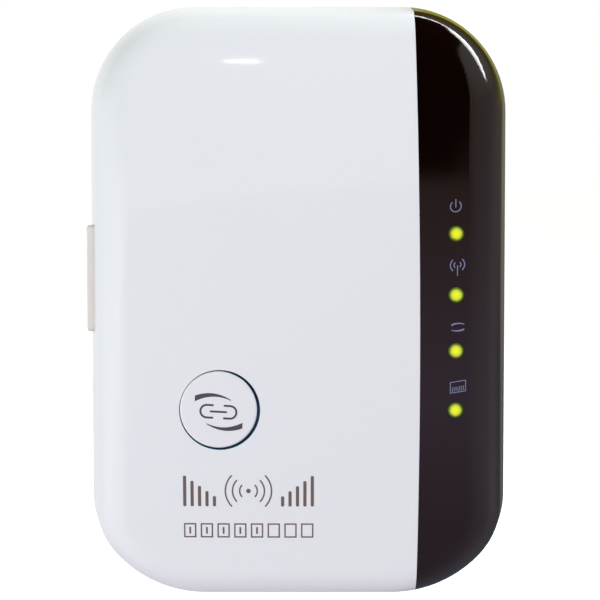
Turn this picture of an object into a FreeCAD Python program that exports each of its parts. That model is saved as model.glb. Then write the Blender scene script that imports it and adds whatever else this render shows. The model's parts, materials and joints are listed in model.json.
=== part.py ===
"""Plug-in Wi-Fi range extender, built as the separate pieces that it comes apart into.

Millimetres.  X points right, Y points back into the wall socket, Z points up.  The pieces are
drawn about the centre of the case, and save() lowers them, so that the finished part has its
origin in the middle of the plug's end face, between the two pins.
"""
import FreeCAD, Part
import math
import os

Vector = FreeCAD.Vector
X_AXIS = Vector(1, 0, 0)
Y_AXIS = Vector(0, 1, 0)
Z_AXIS = Vector(0, 0, 1)

# ---- case -------------------------------------------------------------------------------
CASE_WIDTH = 78.0
CASE_HEIGHT = 110.4
UPPER_CORNER = (19.6, 19.6)    # corner radii at the parting line: beside the corner, then
LOWER_CORNER = (16.2, 23.8)    # above or below it
CORNER_TURN = 43.0             # degrees from the side at which one radius gives way to the other
CROWN_Y = -51.0            # the foremost point of the bulging front
PARTING_Y = -30.0          # where the front and rear covers meet
BACK_Y = -17.0             # the flat back that lies against the wall socket
PLUG_Z = 8.0               # how far the plug's axis is above the centre of the case
FRONT_DRAFT = math.radians(8.0)
REAR_DRAFT = math.radians(4.0)
CROWN_RADIUS_ACROSS = 500.0
CROWN_RADIUS_UPWARD = 220.0
CROWN_HALF_ANGLE = math.radians(21.0)
CROWN_SWEEP = 24.0         # degrees that the crown's arc is swept through
FRONT_EDGE_RADIUS = 7.0
REAR_EDGE_RADIUS = 4.5
WALL = 2.0
SHADOW_GAP = 0.4           # the fine groove that runs round the case at the parting line
LIP_THICKNESS = 0.9        # the rear cover's lip, inside the front cover's left and middle
LIP_FIT = 0.1
LIP_HEIGHT = 2.5
LIP_END_X = 18.0
VENT_SPACING = 3.2
VENT_WIDTH = 1.4
VENT_Y = (-27.4, -22.4)
VENT_SIDE_COUNT = 6        # slots on each side of the middle one

# ---- places beyond the case, where cutting tools may end ----------------------------------
ALL_X = (-60.0, 60.0)
AHEAD_Y = -60.0
BEHIND_Y = 10.0
ALL_Y = (AHEAD_Y, BEHIND_Y)
ALL_Z = (-70.0, 70.0)

# ---- black indicator panel --------------------------------------------------------------
SEAM_X = 21.92             # how far right the seam reaches; it bows back by a few tenths
SEAM_RADIUS = 2900.0
SEAM_Z = -16.0             # the height where it reaches furthest right
PANEL_THICKNESS = 1.5
PANEL_FIT = 0.05
PANEL_BACKING = 3.1        # panel and the white layer beneath it, together
LAMP_X = 28.4
LAMP_HEIGHTS = {"power": 13.2, "wireless": 2.2, "link": -7.9, "network": -18.7}
LENS_DIAMETER = 2.5
LENS_HOLE = 2.8
LIGHT_BAR_Y = (-45.9, -44.7)
LIGHT_BAR_Z = (-22.0, 16.5)
LIGHT_BAR_WIDTH = 4.0
LIGHT_SHIELD_WIDTH = 5.2
LIGHT_WELL = 3.6           # the bore in the shield round each lamp

# ---- pairing button ---------------------------------------------------------------------
BUTTON_X = -14.2
BUTTON_Z = -18.6
CAP_X = BUTTON_X - 0.2     # the cap sits a little to the upper left in its hole
CAP_Z = BUTTON_Z + 0.07
CAP_DIAMETER = 14.0
BUTTON_HOLE = 14.6
BUTTON_PROUD = 0.3
BUTTON_BACK_Y = -45.4
BUTTON_FLANGE = 16.4
BUTTON_FLANGE_THICKNESS = 0.8
BUTTON_GUIDE_WALL = 1.5
BUTTON_GUIDE_END_Y = -46.6
BUTTON_POST = 3.6
BUTTON_SKIN_Y = -48.2      # where the hollow behind the cap's face ends
STEM_DIAMETER = 3.3
STEM_HOLE = 3.7
SWITCH_SIZE = 6.2

# ---- boards -----------------------------------------------------------------------------
BOARD_THICKNESS = 1.6
MAIN_FRONT_Y = -38.4
MAIN_BACK_Y = MAIN_FRONT_Y + BOARD_THICKNESS
MAIN_HALF_WIDTH = 33.5
MAIN_HALF_HEIGHT = 49.5
MAIN_CORNER = 14.0
SWITCH_TOP_Y = MAIN_FRONT_Y - 3.5
STEM_TOP_Y = MAIN_FRONT_Y - 5.0
POWER_FRONT_Y = -24.6
POWER_BACK_Y = POWER_FRONT_Y + BOARD_THICKNESS
POWER_X = (-15.0, 32.0)
POWER_Z = (-34.0, 34.0)
LINK_X = -10.0             # the row of pins that joins the two boards
LINK_Z = -26.0
LINK_PITCH = 2.54
LINK_PIN_COUNT = 4
LINK_PIN_SIZE = 0.64
TRANSFORMER_X = 16.0
TRANSFORMER_Z = -9.0
TRANSFORMER_WIDTH = 13.4
TRANSFORMER_FEET_X = (9.5, 22.5)
SAFETY_SLOT = ((5.4, 6.6), (-12.0, -2.0))    # the slot that parts mains from low voltage
SAFETY_DISC_X = (4.4, 7.6)
SAFETY_DISC_Z = -16.0
SAFETY_DISC_DIAMETER = 7.6
CHOKE_X = 2.0
CHOKE_Z = -28.0
MAINS_CAN = (8.0, 12.5)        # diameter and length
OUTPUT_CAN = (6.3, 10.5)
OUTPUT_CAN_PLACES = [(25.0, -26.0), (16.5, -27.5)]
WIRE_DIAMETER = 0.6

# ---- tall parts on the main board ---------------------------------------------------------
ANTENNA_SPAN = (2.5, 20.0)     # how far each strip reaches from the middle of the board
ANTENNA_Z = (41.0, 46.0)
ANTENNA_LIFT = 4.4
ANTENNA_SHEET = 0.4
ANTENNA_LEG_WIDTH = 1.4
ANTENNA_LEG_SPACING = 5.0
CRYSTAL_X = 15.5
CRYSTAL_Z = 24.0
INDUCTOR_X = 14.0
INDUCTOR_Z = -24.0
INDUCTOR_SIZE = 7.0
INDUCTOR_HEIGHT = 3.4

# ---- screws -----------------------------------------------------------------------------
CASE_POSTS = [(x, z) for x in (-26.0, 26.0) for z in (-42.0, 42.0)]
MAIN_BOSSES = [(0.0, 33.0), (9.0, -40.0), (-29.0, -30.0)]
POWER_BOSSES = [(-11.5, 30.5), (28.5, 30.5), (28.5, -4.0)]
PLUG_SCREW_X = 21.5
POST_DIAMETER = 6.5
POST_END_Y = -31.0
SCREW_SEAT_Y = -26.0       # where the heads of the case screws stop, deep in their tubes
BOSS_DIAMETER = 5.0
CASE_PILOT = 2.3           # hole that a case screw cuts its thread in
CASE_SCREW_HOLE = 2.9      # hole that a case screw passes through
CASE_HEAD_HOLE = 5.4
SMALL_PILOT = 1.9
CASE_SCREW = (4.8, 2.2, 12.0)  # diameters of the head and shank, and the shank's length
MAIN_SCREW = (4.0, 1.8, 5.0)
POWER_SCREW = (4.0, 1.8, 5.4)
PLUG_SCREW = (3.6, 1.8, 3.2)
SMALL_SCREW_HOLE = 2.4

# ---- network socket ---------------------------------------------------------------------
JACK_Z = 4.55
JACK_WIDTH = 16.0          # along Z
JACK_HEIGHT = 13.5         # along Y, standing on the back of the main board
JACK_FRONT_X = -39.0
JACK_DEPTH = 21.0
JACK_X = (JACK_FRONT_X, JACK_FRONT_X + JACK_DEPTH)
JACK_Y = (MAIN_BACK_Y, MAIN_BACK_Y + JACK_HEIGHT)
SHIELD_THICKNESS = 0.3
BEZEL_FRONT_X = -39.2
BEZEL_WALL = 1.2
BEZEL_HEIGHT = 19.7
BEZEL_FIT = 0.1
SOCKET_WIDTH = 11.8
SOCKET_Y = (-32.4, -25.6)
LATCH_WIDTH = 6.4
LATCH_Y = (-34.6, -32.4)
SOCKET_DEPTH = 13.7
CONTACT_COUNT = 8
CONTACT_PITCH = 1.02
SOCKET_AHEAD_X = -45.0     # outside the case, in front of the socket
CONTACT_WIDTH = 0.45
CONTACT_THICKNESS = 0.35
CONTACT_TOP_Y = -24.8      # where each wire turns over inside the housing
CONTACT_END_Y = -28.2
BEZEL_BACK_X = -34.4

# ---- label on the back ------------------------------------------------------------------
LABEL_Z = -26.0
LABEL_HALF_WIDTH = 20.0
LABEL_HALF_HEIGHT = 9.0
LABEL_CORNER = 1.2
LABEL_FIT = 0.4
LABEL_DEPTH = 0.3
LABEL_THICKNESS = 0.15

# ---- mains plug -------------------------------------------------------------------------
PIN_SPACING = 18.6
PIN_DIAMETER = 4.0
PIN_LENGTH = 19.0
SLEEVE_LENGTH = 10.0
SLEEVE_DIAMETER = 3.6
SLEEVE_ROOT_Y = -8.0       # the inner end of each sleeve, sunk in the plug block
PIN_CORE_DIAMETER = 3.2
PIN_TAIL_DIAMETER = 2.2    # the end of each pin that is soldered in the power board
PLUG_WIDTH = 35.3
PLUG_DEPTH = 13.7
PLUG_FIT = 0.1
PLUG_HOLLOW_END_Y = -3.0

# ---- reset switch -----------------------------------------------------------------------
RESET_Y = -34.7
RESET_Z = -16.0
PINHOLE = 1.8
RESET_BODY_WIDTH = 6.0
RESET_BODY_DEPTH = 3.6
RESET_BODY_HEIGHT = 4.2
RESET_STEM_X = (-34.9, -32.6)
RESET_STEM_DIAMETER = 2.0
RESET_STEM_HOLE = 2.5


# ---- drawing helpers --------------------------------------------------------------------
def about(centre, size):
    """The (low, high) pair of a stretch of this size about its centre."""
    return (centre - size / 2, centre + size / 2)


def block(x, y, z):
    """A box from three (low, high) pairs."""
    return Part.makeBox(x[1] - x[0], y[1] - y[0], z[1] - z[0], Vector(x[0], y[0], z[0]))


def rod(diameter, x, y, z):
    """A cylinder along Y: y is a (low, high) pair."""
    return Part.makeCylinder(diameter / 2, y[1] - y[0], Vector(x, y[0], z), Y_AXIS)


def rod_across(diameter, x, y, z):
    """A cylinder along X: x is a (low, high) pair."""
    return Part.makeCylinder(diameter / 2, x[1] - x[0], Vector(x[0], y, z), X_AXIS)


def rod_upright(diameter, x, y, z):
    """A cylinder along Z: z is a (low, high) pair."""
    return Part.makeCylinder(diameter / 2, z[1] - z[0], Vector(x, y, z[0]), Z_AXIS)


def joined(pieces):
    """One solid out of pieces that touch or overlap."""
    return pieces[0].multiFuse(pieces[1:]).removeSplitter()


def without(shape, tools):
    """The shape with every tool cut away."""
    return shape.cut(Part.makeCompound(tools))


def softened(shape, radius, wanted):
    """The shape with a fillet on each edge that wanted() picks."""
    return shape.makeFillet(radius, [edge for edge in shape.Edges if wanted(edge)])


def runs_along(edge, axis):
    """Whether an edge is a straight line along the axis."""
    if not isinstance(edge.Curve, Part.Line):
        return False
    return abs(edge.Curve.Direction.dot(axis)) > 0.999


def corner_arcs(half_width, half_height, radii):
    """The arcs of the upper right corner, each as three (x, z) points, from the side to the end."""
    side, end = radii
    turn = CORNER_TURN if side != end else 90.0
    end_z = half_height - end
    side_x = half_width - side
    end_x = side_x - (end - side) * math.cos(math.radians(turn))
    side_z = end_z + (end - side) * math.sin(math.radians(turn))
    pieces = [(side_x, side_z, side, 0.0, turn)]
    if side != end:
        pieces.append((end_x, end_z, end, turn, 90.0))
    arcs = []
    for centre_x, centre_z, radius, start, stop in pieces:
        angles = [math.radians(angle) for angle in (start, (start + stop) / 2, stop)]
        arcs.append([(centre_x + radius * math.cos(angle), centre_z + radius * math.sin(angle))
                     for angle in angles])
    return arcs


def outline(half_width, half_height, upper, lower, y):
    """A rounded rectangle in the plane of this y; upper and lower are its corners' radii."""
    chain = []
    for side_x, side_z in ((1, 1), (-1, 1), (-1, -1), (1, -1)):
        arcs = corner_arcs(half_width, half_height, upper if side_z > 0 else lower)
        if side_x != side_z:
            arcs = [points[::-1] for points in arcs[::-1]]
        for points in arcs:
            chain.append([Vector(side_x * x, y, side_z * z) for x, z in points])
    edges = []
    for index, points in enumerate(chain):
        edges.append(Part.Arc(*points).toShape())
        following = chain[(index + 1) % len(chain)]
        if points[2].distanceToPoint(following[0]) > 0.001:
            edges.append(Part.LineSegment(points[2], following[0]).toShape())
    return Part.Wire(edges)


def case_outline(y, inset):
    """The case's outline at the parting line, drawn at y and shrunk by inset."""
    upper = tuple(radius - inset for radius in UPPER_CORNER)
    lower = tuple(radius - inset for radius in LOWER_CORNER)
    return outline(CASE_WIDTH / 2 - inset, CASE_HEIGHT / 2 - inset, upper, lower, y)


def plate(half_width, half_height, radius, y):
    """A flat rounded plate between the (low, high) pair y."""
    corners = (radius, radius)
    face = Part.Face(outline(half_width, half_height, corners, corners, y[0]))
    return face.extrude(Vector(0, y[1] - y[0], 0))


def strip(points, thickness, z):
    """A bent strip of wire or sheet through (x, y) points, between the pair z."""
    pieces = []
    for (x0, y0), (x1, y1) in zip(points, points[1:]):
        length = math.hypot(x1 - x0, y1 - y0)
        side_x = -(y1 - y0) / length * thickness / 2
        side_y = (x1 - x0) / length * thickness / 2
        corners = [
            Vector(x0 + side_x, y0 + side_y, z[0]),
            Vector(x1 + side_x, y1 + side_y, z[0]),
            Vector(x1 - side_x, y1 - side_y, z[0]),
            Vector(x0 - side_x, y0 - side_y, z[0]),
        ]
        face = Part.Face(Part.makePolygon(corners + corners[:1]))
        pieces.append(face.extrude(Vector(0, 0, z[1] - z[0])))
    for x, y in points[1:-1]:
        pieces.append(rod_upright(thickness, x, y, z))
    return joined(pieces)


# ---- volumes of the case ----------------------------------------------------------------
def crown_block(inset):
    """A deep block whose front bulges both ways: an upright arc swept round an upright axis."""
    radius = CROWN_RADIUS_UPWARD - inset
    centre_y = CROWN_Y + CROWN_RADIUS_UPWARD
    points = []
    for angle in (-CROWN_HALF_ANGLE, 0.0, CROWN_HALF_ANGLE):
        points.append(Vector(0, centre_y - radius * math.cos(angle), radius * math.sin(angle)))
    back = [Vector(0, BEHIND_Y, points[2].z), Vector(0, BEHIND_Y, points[0].z)]
    edges = [Part.Arc(*points).toShape()]
    for start, end in ((points[2], back[0]), (back[0], back[1]), (back[1], points[0])):
        edges.append(Part.LineSegment(start, end).toShape())
    face = Part.Face(Part.Wire(edges))
    pivot = Vector(0, CROWN_Y + CROWN_RADIUS_ACROSS, 0)
    face.rotate(pivot, Z_AXIS, -CROWN_SWEEP / 2)
    return face.revolve(pivot, Z_AXIS, CROWN_SWEEP)


def front_volume(inset):
    """The whole front half of the case, with every outer surface moved in by inset."""
    shift = inset / math.cos(FRONT_DRAFT)
    tip_y = CROWN_Y - 3.0
    draw_in = (PARTING_Y - tip_y) * math.tan(FRONT_DRAFT)
    sections = [case_outline(PARTING_Y, shift), case_outline(tip_y, shift + draw_in)]
    crowned = Part.makeLoft(sections, True, True).common(crown_block(inset))
    shoulder_y = PARTING_Y - 5.0
    return softened(crowned, FRONT_EDGE_RADIUS - inset, lambda e: e.BoundBox.YMax < shoulder_y)


def rear_volume(inset):
    """The whole rear half of the case, with every outer surface moved in by inset."""
    shift = inset / math.cos(REAR_DRAFT)
    end_y = BACK_Y - inset
    draw_in = (end_y - PARTING_Y) * math.tan(REAR_DRAFT)
    sections = [case_outline(PARTING_Y, shift), case_outline(end_y, shift + draw_in)]
    walls = Part.makeLoft(sections, True, True)
    return softened(walls, REAR_EDGE_RADIUS - inset, lambda e: e.BoundBox.YMin > end_y - 0.01)


def left_of(x):
    """Everything on the left of a plane across the case."""
    return block((ALL_X[0], x), ALL_Y, ALL_Z)


def right_of(x):
    """Everything on the right of a plane across the case."""
    return block((x, ALL_X[1]), ALL_Y, ALL_Z)


def left_of_seam(margin):
    """Everything on the left of the panel's gently bowed seam: a very large disc."""
    return rod(2 * (SEAM_RADIUS + margin), SEAM_X - SEAM_RADIUS, ALL_Y, SEAM_Z)


def lamp_holes(diameter):
    """Four bores along Y, one at each indicator."""
    return [rod(diameter, LAMP_X, (AHEAD_Y, -42.0), z) for z in LAMP_HEIGHTS.values()]


def bezel_block(margin):
    """The space that the network socket's bezel takes in the left wall."""
    y = (MAIN_BACK_Y - BEZEL_WALL - margin, MAIN_BACK_Y + JACK_HEIGHT + BEZEL_WALL + margin)
    z = about(JACK_Z, BEZEL_HEIGHT + 2 * margin)
    return block((BEZEL_FRONT_X, -30.0), y, z)


# ---- covers -----------------------------------------------------------------------------
def front_cover():
    """The white front, with the black panel's bed, the screw posts and the button's guide."""
    white = front_volume(0).common(left_of_seam(0))
    bed = front_volume(PANEL_THICKNESS + PANEL_FIT).cut(left_of_seam(0))
    thin_side = SEAM_X - (PANEL_BACKING - PANEL_THICKNESS)
    hollow_left = front_volume(WALL).common(left_of(thin_side))
    hollow_right = front_volume(PANEL_BACKING).common(right_of(thin_side))
    shell = joined([white, bed]).cut(hollow_left).cut(hollow_right)

    inside = front_volume(WALL / 2)
    inside = inside.common(left_of(thin_side)).fuse(front_volume(PANEL_BACKING / 2 + 0.8))
    posts = [rod(POST_DIAMETER, x, (CROWN_Y, POST_END_Y), z) for x, z in CASE_POSTS]
    posts += [rod(BOSS_DIAMETER, x, (CROWN_Y, MAIN_FRONT_Y), z) for x, z in MAIN_BOSSES]
    guide = BUTTON_HOLE + 2 * BUTTON_GUIDE_WALL
    posts.append(rod(guide, BUTTON_X, (CROWN_Y, BUTTON_GUIDE_END_Y), BUTTON_Z))
    shell = joined([shell] + [post.common(inside) for post in posts])

    cuts = lamp_holes(LENS_HOLE + 0.2)
    cuts.append(rod(BUTTON_HOLE, BUTTON_X, (AHEAD_Y, -40.0), BUTTON_Z))
    cuts.append(bezel_block(BEZEL_FIT))
    cuts.append(rod_across(PINHOLE, (-45.0, -34.0), RESET_Y, RESET_Z))
    cuts += [rod(CASE_PILOT, x, (POST_END_Y - 9.0, POST_END_Y), z) for x, z in CASE_POSTS]
    cuts += [rod(SMALL_PILOT, x, (MAIN_FRONT_Y - 4.0, MAIN_FRONT_Y), z) for x, z in MAIN_BOSSES]
    return without(shell, cuts)


def indicator_panel():
    """The glossy black skin that wraps the right side of the front."""
    skin = front_volume(0).cut(front_volume(PANEL_THICKNESS)).cut(left_of_seam(PANEL_FIT))
    return without(skin, lamp_holes(LENS_HOLE))


def vent_slots():
    """Two rows of narrow slots, through the top and the bottom wall."""
    slots = []
    for side in (-1, 1):
        z = about(side * CASE_HEIGHT / 2, 8.0)
        for index in range(-VENT_SIDE_COUNT, VENT_SIDE_COUNT + 1):
            slots.append(block(about(index * VENT_SPACING, VENT_WIDTH), VENT_Y, z))
    return slots


def rear_cover():
    """The white back, with its screw tubes, vents and the opening for the plug."""
    shell = rear_volume(0).cut(rear_volume(WALL))
    groove = rear_volume(-1.0).cut(rear_volume(SHADOW_GAP))
    shell = shell.cut(groove.common(block(ALL_X, (PARTING_Y, PARTING_Y + SHADOW_GAP), ALL_Z)))

    along = (ALL_X[0], LIP_END_X)
    inner = WALL + LIP_FIT + LIP_THICKNESS
    lip = front_volume(WALL + LIP_FIT).cut(front_volume(inner))
    lip = lip.common(block(along, (PARTING_Y - LIP_HEIGHT, PARTING_Y), ALL_Z))
    root = rear_volume(WALL / 2).cut(rear_volume(inner))
    root = root.common(block(along, (PARTING_Y + SHADOW_GAP, PARTING_Y + 2.0), ALL_Z))
    bridge = rear_volume(WALL / 2 + 0.2).cut(rear_volume(inner))
    bridge = bridge.common(block(along, (PARTING_Y, PARTING_Y + 1.0), ALL_Z))
    pieces = [shell, lip, bridge, root]
    tubes = [rod(POST_DIAMETER + 0.5, x, (POST_END_Y, BACK_Y), z) for x, z in CASE_POSTS]
    tubes += [rod(BOSS_DIAMETER, x, (POWER_BACK_Y, BACK_Y), z) for x, z in POWER_BOSSES]
    back_stop = block(ALL_X, (AHEAD_Y, BACK_Y - WALL / 2), ALL_Z)
    shell = joined(pieces + [tube.common(back_stop) for tube in tubes])

    opening = plate(PLUG_WIDTH / 2 + PLUG_FIT, PLUG_DEPTH / 2 + PLUG_FIT, PLUG_DEPTH / 2, (-25.0, 0.0))
    opening.translate(Vector(0, 0, PLUG_Z))
    cuts = vent_slots() + [opening, label_plate(LABEL_FIT, LABEL_DEPTH), bezel_block(BEZEL_FIT)]
    for x, z in CASE_POSTS:
        cuts.append(rod(CASE_SCREW_HOLE, x, (POST_END_Y, BACK_Y), z))
        cuts.append(rod(CASE_HEAD_HOLE, x, (SCREW_SEAT_Y, BACK_Y), z))
    cuts += [rod(SMALL_PILOT, x, (POWER_BACK_Y, POWER_BACK_Y + 4.5), z) for x, z in POWER_BOSSES]
    for side in (-1, 1):
        cuts.append(rod(SMALL_PILOT, side * PLUG_SCREW_X, (BACK_Y - WALL, BACK_Y - 0.5), PLUG_Z))
    return without(shell, cuts)


def label_plate(margin, thickness):
    """A plate with the label's outline, grown by margin, from the floor of the label's bed."""
    y = (BACK_Y - LABEL_DEPTH, BACK_Y - LABEL_DEPTH + thickness)
    label = plate(LABEL_HALF_WIDTH + margin, LABEL_HALF_HEIGHT + margin, LABEL_CORNER, y)
    label.translate(Vector(0, 0, LABEL_Z))
    return label


def rating_label():
    """The blank silver label in its shallow bed on the back."""
    return label_plate(0, LABEL_THICKNESS)


# ---- mains plug -------------------------------------------------------------------------
def plug_block():
    """The flat plug body that stands on the back, with a flange inside the case."""
    body = plate(PLUG_WIDTH / 2, PLUG_DEPTH / 2, PLUG_DEPTH / 2 - 0.1, (BACK_Y - WALL, 0.0))
    body = softened(body, 0.8, lambda e: e.BoundBox.YMin > -0.01)
    flange = plate(25.0, 10.5, 3.0, (BACK_Y - 2 * WALL, BACK_Y - WALL))
    solid = joined([body, flange])
    cuts = [plate(5.0, 4.0, 1.0, (BACK_Y - 2 * WALL, PLUG_HOLLOW_END_Y))]
    for side in (-1, 1):
        x = side * PIN_SPACING / 2
        cuts.append(rod(PIN_CORE_DIAMETER, x, (PARTING_Y, SLEEVE_ROOT_Y), 0))
        cuts.append(rod(SLEEVE_DIAMETER + PLUG_FIT, x, (SLEEVE_ROOT_Y, BEHIND_Y), 0))
        cuts.append(rod(SMALL_SCREW_HOLE, side * PLUG_SCREW_X, (PARTING_Y, BACK_Y - WALL), 0))
    solid = without(solid, cuts)
    solid.translate(Vector(0, 0, PLUG_Z))
    return solid


def plug_pin(side):
    """A round pin: bare and full size at its tip, slimmer under its sleeve and in the block."""
    x = side * PIN_SPACING / 2
    bare = rod(PIN_DIAMETER, x, (SLEEVE_LENGTH, PIN_LENGTH), PLUG_Z)
    bare = softened(bare, 1.4, lambda e: e.BoundBox.YMin > PIN_LENGTH - 0.01)
    core = rod(PIN_CORE_DIAMETER, x, (BACK_Y - 2 * WALL, SLEEVE_LENGTH), PLUG_Z)
    tail = rod(PIN_TAIL_DIAMETER, x, (POWER_FRONT_Y - 1.2, BACK_Y - 2 * WALL), PLUG_Z)
    return joined([bare, core, tail])


def pin_sleeve(side):
    """The insulating sleeve round the root of a pin."""
    x = side * PIN_SPACING / 2
    y = (SLEEVE_ROOT_Y, SLEEVE_LENGTH)
    return rod(SLEEVE_DIAMETER, x, y, PLUG_Z).cut(rod(PIN_CORE_DIAMETER, x, y, PLUG_Z))


# ---- buttons ----------------------------------------------------------------------------
def pairing_button():
    """The round cap: its face follows the crown, its flange keeps it in, its post works the switch."""
    disc = rod(CAP_DIAMETER, CAP_X, (AHEAD_Y, BUTTON_BACK_Y), CAP_Z)
    disc = disc.common(front_volume(-BUTTON_PROUD))
    disc = softened(disc, 0.45, lambda e: e.BoundBox.YMax < BUTTON_SKIN_Y)
    hollow = rod(CAP_DIAMETER - 3.0, CAP_X, (BUTTON_SKIN_Y, BUTTON_BACK_Y), CAP_Z)
    flange = rod(BUTTON_FLANGE, CAP_X, (BUTTON_BACK_Y - BUTTON_FLANGE_THICKNESS, BUTTON_BACK_Y), CAP_Z)
    post = rod(BUTTON_POST, CAP_X, (BUTTON_SKIN_Y - 0.2, STEM_TOP_Y), CAP_Z)
    return joined([joined([disc, flange]).cut(hollow), post])


def pairing_switch():
    """The square tactile switch under the button."""
    y = (SWITCH_TOP_Y, MAIN_FRONT_Y)
    body = block(about(BUTTON_X, SWITCH_SIZE), y, about(BUTTON_Z, SWITCH_SIZE))
    body = softened(body, 0.5, lambda e: runs_along(e, Y_AXIS))
    legs = []
    for side in (-1, 1):
        for rise in (-2.25, 2.25):
            x = sorted((BUTTON_X + side * 2.8, BUTTON_X + side * 4.0))
            legs.append(block(x, (MAIN_FRONT_Y - 0.6, MAIN_FRONT_Y), about(BUTTON_Z + rise, 0.7)))
    pocket = rod(STEM_HOLE, BUTTON_X, (SWITCH_TOP_Y - 1.0, SWITCH_TOP_Y + 1.6), BUTTON_Z)
    return joined([body] + legs).cut(pocket)


def pairing_switch_stem():
    """The switch's round plunger, which the button's post rests on."""
    stem = rod(STEM_DIAMETER, BUTTON_X, (STEM_TOP_Y, SWITCH_TOP_Y + 1.0), BUTTON_Z)
    return softened(stem, 0.2, lambda e: e.BoundBox.YMax < STEM_TOP_Y + 0.01)


def reset_switch():
    """The small side switch on the back of the main board."""
    x = (-MAIN_HALF_WIDTH, -MAIN_HALF_WIDTH + RESET_BODY_DEPTH)
    y = (MAIN_BACK_Y, MAIN_BACK_Y + RESET_BODY_HEIGHT)
    body = block(x, y, about(RESET_Z, RESET_BODY_WIDTH))
    pocket = rod_across(RESET_STEM_HOLE, (x[0] - 1.0, x[0] + 1.4), RESET_Y, RESET_Z)
    return body.cut(pocket)


def reset_switch_stem():
    """The reset switch's plunger, behind the pinhole in the side of the case."""
    return rod_across(RESET_STEM_DIAMETER, RESET_STEM_X, RESET_Y, RESET_Z)


# ---- indicators -------------------------------------------------------------------------
def led(height):
    """A surface-mounted lamp: a base and a smaller clear top."""
    base = block(about(LAMP_X, 1.4), (MAIN_FRONT_Y - 0.5, MAIN_FRONT_Y), about(height, 2.2))
    top = block(about(LAMP_X, 1.2), (MAIN_FRONT_Y - 1.2, MAIN_FRONT_Y - 0.5), about(height, 1.4))
    return joined([base, top])


def led_light_guide():
    """A clear bar with four round lenses that end flush with the black panel."""
    bar = block(about(LAMP_X, LIGHT_BAR_WIDTH), LIGHT_BAR_Y, LIGHT_BAR_Z)
    bar = softened(bar, 1.2, lambda e: runs_along(e, Y_AXIS))
    flush = front_volume(0.05)
    lenses = []
    for z in LAMP_HEIGHTS.values():
        lenses.append(rod(LENS_DIAMETER, LAMP_X, (CROWN_Y, -41.0), z).common(flush))
    return joined([bar] + lenses)


def led_light_shield():
    """A black block that keeps the light of each lamp to its own lens."""
    y = (LIGHT_BAR_Y[1] + 0.1, MAIN_FRONT_Y)
    shield = block(about(LAMP_X, LIGHT_SHIELD_WIDTH), y, LIGHT_BAR_Z)
    return without(shield, [rod(LIGHT_WELL, LAMP_X, y, z) for z in LAMP_HEIGHTS.values()])


# ---- chips and other parts of the main board ---------------------------------------------
def gull_wing(edge, side, rise, height, face_y):
    """One lead of a chip: out of the body, down, and out along the board."""
    shoulder_y = face_y - height * 0.55
    foot = block(sorted((edge + side * 0.35, edge + side * 1.1)), (face_y - 0.2, face_y), rise)
    drop = block(sorted((edge + side * 0.35, edge + side * 0.55)), (shoulder_y, face_y), rise)
    root = block(sorted((edge - side * 0.2, edge + side * 0.55)), (shoulder_y, shoulder_y + 0.2), rise)
    return [foot, drop, root]


def chip(x, z, size, height, leads, pitch, face_y):
    """A moulded chip on the front of a board, with a row of leads on its left and right sides."""
    pieces = [block(about(x, size[0]), (face_y - height, face_y - 0.15), about(z, size[1]))]
    for side in (-1, 1):
        for index in range(leads):
            rise = about(z + (index - (leads - 1) / 2) * pitch, pitch * 0.4)
            pieces += gull_wing(x + side * size[0] / 2, side, rise, height, face_y)
    return joined(pieces)


def main_board():
    """The circuit board, with clearance round the case posts and holes for its own screws."""
    y = (MAIN_FRONT_Y, MAIN_BACK_Y)
    board = plate(MAIN_HALF_WIDTH, MAIN_HALF_HEIGHT, MAIN_CORNER, y)
    cuts = [rod(POST_DIAMETER + 0.7, x, y, z) for x, z in CASE_POSTS]
    cuts += [rod(SMALL_SCREW_HOLE, x, y, z) for x, z in MAIN_BOSSES]
    cuts += [pin.common(board) for pin in board_link_pin_list()]
    cuts += [tail.common(board) for tail in contact_list()]
    return without(board, cuts)


def antenna(side):
    """A stamped strip antenna that stands on two legs at the top of the board."""
    x = sorted(side * reach for reach in ANTENNA_SPAN)
    top_y = MAIN_FRONT_Y - ANTENNA_LIFT
    top = block(x, (top_y, top_y + ANTENNA_SHEET), ANTENNA_Z)
    leg_z = (ANTENNA_Z[0], ANTENNA_Z[0] + ANTENNA_SHEET)
    legs = []
    for outer in (ANTENNA_SPAN[1], ANTENNA_SPAN[1] - ANTENNA_LEG_SPACING):
        foot = sorted((side * outer, side * (outer - ANTENNA_LEG_WIDTH)))
        legs.append(block(foot, (top_y, MAIN_FRONT_Y), leg_z))
    return joined([top] + legs)


def clock_crystal():
    """The crystal's oval metal can."""
    can = plate(5.6, 2.3, 2.29, (MAIN_FRONT_Y - 3.4, MAIN_FRONT_Y - 0.5))
    flange = plate(6.0, 2.7, 2.69, (MAIN_FRONT_Y - 0.5, MAIN_FRONT_Y))
    can = joined([can, flange])
    can.translate(Vector(CRYSTAL_X, 0, CRYSTAL_Z))
    return can


def regulator_inductor():
    """A square shielded coil with a round core."""
    top_y = MAIN_FRONT_Y - INDUCTOR_HEIGHT
    z = about(INDUCTOR_Z, INDUCTOR_SIZE)
    body = block(about(INDUCTOR_X, INDUCTOR_SIZE), (top_y, MAIN_FRONT_Y), z)
    body = softened(body, 1.2, lambda e: runs_along(e, Y_AXIS))
    core = rod(4.6, INDUCTOR_X, (top_y - 0.6, top_y), INDUCTOR_Z)
    return joined([body, core])


# ---- network socket ---------------------------------------------------------------------
def socket_space(end_x, margin):
    """The hollow that a network plug goes into, from outside to end_x."""
    x = (SOCKET_AHEAD_X, end_x)
    y = (SOCKET_Y[0] - margin, SOCKET_Y[1] + margin)
    wide = block(x, y, about(JACK_Z, SOCKET_WIDTH + 2 * margin))
    latch = block(x, (LATCH_Y[0] - margin, LATCH_Y[1]), about(JACK_Z, LATCH_WIDTH + 2 * margin))
    return joined([wide, latch])


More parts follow.
